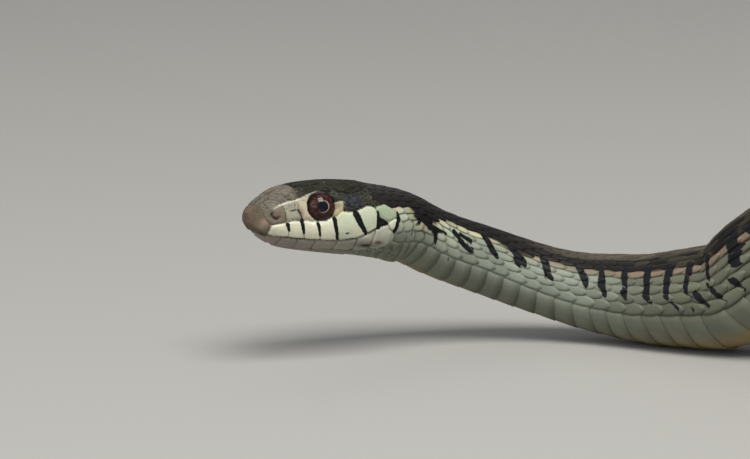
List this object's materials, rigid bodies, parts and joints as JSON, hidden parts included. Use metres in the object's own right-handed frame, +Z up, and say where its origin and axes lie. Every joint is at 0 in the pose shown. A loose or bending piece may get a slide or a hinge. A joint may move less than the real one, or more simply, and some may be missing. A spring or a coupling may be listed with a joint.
{
  "type": "garter snake",
  "caption": "Life-size garter snake at rest on the ground: loose double coil, front of the body laid across it, head lifted and level, mouth closed.",
  "frame": {"origin": "bottom centre of the whole snake's bounding box, at the level of the ground", "axes": "+Z up; the head points mostly towards -X, turned 33 degrees towards -Y; the coil lies towards +X"},
  "size_m": [0.196, 0.2462, 0.0379],
  "materials": {
    "crown": "black-olive head shields, smooth and faintly glossy",
    "jaw": "pale pinkish grey chin and lower lip",
    "eye": "dark reddish brown iris and black pupil under a clear glossy scale",
    "body": "keeled dark scales with pale green-grey flanks, pale stripes and broad pale belly scutes"
  },
  "bodies": {
    "root": {"head": "crown", "lower_jaw": "jaw", "eye_left": "eye", "eye_right": "eye", "neck": "body", "body_01": "body", "body_02": "body", "body_03": "body", "body_04": "body", "body_05": "body", "body_06": "body", "body_07": "body", "body_08": "body", "body_09": "body", "body_10": "body", "tail_1": "body", "tail_2": "body", "tail_3": "body"}
  },
  "joints": []
}
